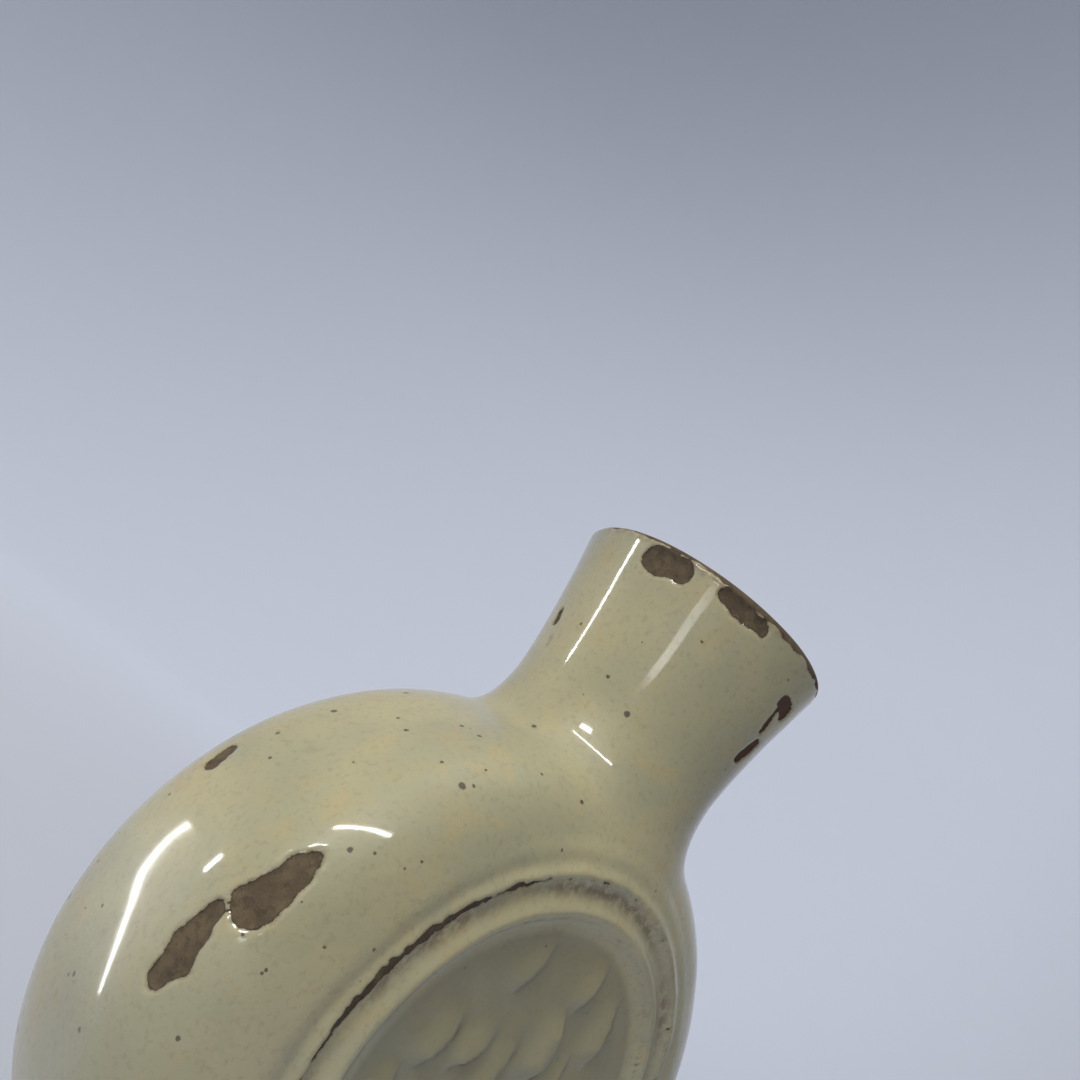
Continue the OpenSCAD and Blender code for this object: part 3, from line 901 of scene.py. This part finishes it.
# %% Clay and liner
stoneware = Finish("bare stoneware")
grain = stoneware.noise(0.35, 3.0, 0.7)
stoneware.fill(stoneware.shader, {
    "Base Color": clay_colour(stoneware), "Roughness": 0.78 + 0.15 * grain,
    "Normal": stoneware.bump(grain, 0.08, stoneware.bump(stoneware.noise(2.5, 3.0), 0.12))})
liner = Finish("liner glaze")
liner_colour, liner_fine = glaze_colour(liner)
liner.fill(liner.shader, {
    "Base Color": liner_colour, "Roughness": 0.32 + 0.1 * liner_fine, "Coat Weight": 1.0,
    "Coat Roughness": 0.075, "Normal": liner.bump(liner.noise(1.6, 2.0), 0.025)})
stoneware.wear(*shells, foot_clay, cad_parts["seam_coil"])
liner.wear(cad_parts["inner_glaze"])
print("materials:", [m.name for m in bpy.data.materials])

# %% [markdown]
# Each piece rides on the one body of the flask, stands for the solids that it replaces,
# and names the slot that its finish comes from.

# %% Pieces and the solids they stand for
PIECES = [(glaze_front, ["outer_glaze"], "outer_glaze"),
          (glaze_back, ["outer_glaze"], "outer_glaze"),
          (clay_front, ["front_half"], "clay"), (clay_back, ["back_half"], "clay"),
          (neck_clay, ["neck_collar"], "clay"), (luting_clay, ["luting_ring"], "clay"),
          (roundel_front, ["front_roundel"], "clay"), (roundel_back, ["back_roundel"], "clay"),
          (foot_clay, ["foot_ring"], "clay")]
for piece, nodes, slot in PIECES:
    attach(piece, "root")
    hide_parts(*nodes)
print("pieces:", [piece.name for piece, _, _ in PIECES])

# %% [markdown]
# ## Floor, light and camera
# The floor is a wide pale dish whose rim turns up into a tent of glowing paper, so that
# there is no horizon from any side. Its profile is turned round the upright axis like a
# pot. The paper's glow is painted light: it dims with height and falls to a dark warm
# grey on the camera's side.

# %% The studio floor
SPOKES = 96
bend = np.linspace(0.05, np.pi / 2, 24)
vault = np.linspace(0.05, np.radians(62), 16)
dish_r = np.concatenate([[0.0], np.linspace(0.05, 1.3, 20), 1.3 + 0.9 * np.sin(bend),
                         2.2 * np.cos(vault)])
dish_z = np.concatenate([np.zeros(21), 0.9 * (1 - np.cos(bend)), 1.5 + 1.6 * np.sin(vault)])
t = np.linspace(0, 2 * np.pi, SPOKES, endpoint=False)
dish = np.stack([dish_r[:, None] * np.cos(t), dish_r[:, None] * np.sin(t),
                 dish_z[:, None] + 0 * t], -1)
i, j = np.meshgrid(np.arange(len(dish_r) - 1), np.arange(SPOKES), indexing="ij")
j2 = (j + 1) % SPOKES
low, high = i * SPOKES, (i + 1) * SPOKES
dish_faces = np.stack([low + j, high + j, high + j2, low + j2], -1).reshape(-1, 4)
floor = make_mesh("floor", dish.reshape(-1, 3) / MM, dish_faces.tolist())
paper = Finish("pale paper")
# Painted light: the paper glows, dimmer with height and darkest on the camera's side.
slope = paper.node("ShaderNodeVectorMath", {"operation": "DOT_PRODUCT"},
                   {0: paper.place, 1: [0.605, -0.253, -0.755]}, "Value")
toward = paper.node("ShaderNodeVectorMath", {"operation": "DOT_PRODUCT"},
                    {0: paper.place, 1: [0.15, 0.99, 0]}, "Value")
painted_glow = paper.mix(paper.step(slope, -1.9, 0.3), (0.085, 0.09, 0.108), (0.36, 0.375, 0.425))
painted_glow = paper.mix(paper.step(toward, -0.4, 1.2), (0.055, 0.052, 0.047), painted_glow)
paper.fill(paper.shader, {
    "Base Color": paper.mix(paper.noise(60, 3), (0.34, 0.36, 0.41), (0.36, 0.38, 0.43)),
    "Roughness": 0.8, "Specular IOR Level": 0.1, "Emission Color": painted_glow, "Emission Strength": 1.0})
paper.wear(floor)
print("floor", round(float(dish_r.max()), 2), "m across the radius")

# %% [markdown]
# Glossy glaze shows its lamps, so each lamp is placed by the direction in which its
# reflection is wanted: an angle round the flask and an angle up, seen from its middle.
# Two soft lamps light the glaze and don't show in it. The small ones draw the streaks.

# %% Lamps and the sky
target = Vector((0, 0, 0.062))


def lamp(name, round_deg, up_deg, distance, size, power, tint=(1, 1, 1)):
    """An area lamp at a direction from the flask's middle, facing it."""
    a, e = np.radians(round_deg), np.radians(up_deg)
    toward = Vector((np.cos(e) * np.cos(a), np.cos(e) * np.sin(a), np.sin(e)))
    data = bpy.data.lights.new(name, "AREA")
    data.shape = "RECTANGLE"
    data.size, data.size_y = size
    data.energy = power
    data.color = tint
    thing = bpy.data.objects.new(name, data)
    thing.location = target + toward * distance
    thing.rotation_euler = (-toward).to_track_quat("-Z", "Y").to_euler()
    bpy.context.scene.collection.objects.link(thing)
    return thing


WARM = (1.0, 0.985, 0.93)
key = lamp("key_soft", 172, 64, 1.4, (0.9, 0.9), 13.5, WARM)
side = lamp("side_soft", -170, 32, 1.2, (0.4, 0.4), 1.2, WARM)
lamp("tube", -146, 41, 1.2, (1.0, 0.03), 4.2)
lamp("ceiling", -164, 28, 1.2, (0.22, 0.09), 2.0)
lamp("window", 139, 4.3, 0.9, (0.03, 0.08), 0.32)
lamp("near_haze", -143, -1, 1.2, (0.16, 0.1), 0.3)
target = Vector((-0.051, -0.002, 0.034))
strip = lamp("rim_strip", 124, 0, 0.06, (0.0009, 0.062), 0.006)
strip.visible_camera = False
strip.visible_diffuse = False
for soft in (key, side):
    soft.visible_glossy = False
world = bpy.data.worlds.new("pale studio")
world.use_nodes = True
world.node_tree.nodes["Background"].inputs["Color"].default_value = (0.62, 0.66, 0.72, 1)
world.node_tree.nodes["Background"].inputs["Strength"].default_value = 0.75
bpy.context.scene.world = world
bpy.context.scene.view_settings.view_transform = "Standard"

# %% [markdown]
# The camera is close, low and at the front left. It looks a little upward and is rolled,
# so that the flask leans across the frame and its foot is outside the picture.

# %% The camera
camera_data = bpy.data.cameras.new("camera")
camera_data.lens = 36.03
camera_data.sensor_width = 36.0
camera = bpy.data.objects.new("camera", camera_data)
forward = Vector((0.6177, 0.7473, 0.2449)).normalized()
right = forward.cross(Vector((-0.6051, 0.2526, 0.7550))).normalized()
up = right.cross(forward)
placed = Matrix((right, up, -forward)).transposed().to_4x4()
placed.translation = Vector((-0.1310, -0.1137, 0.0798))
camera.matrix_world = placed
bpy.context.scene.collection.objects.link(camera)
bpy.context.scene.camera = camera
print("camera at", [round(v, 3) for v in camera.location])
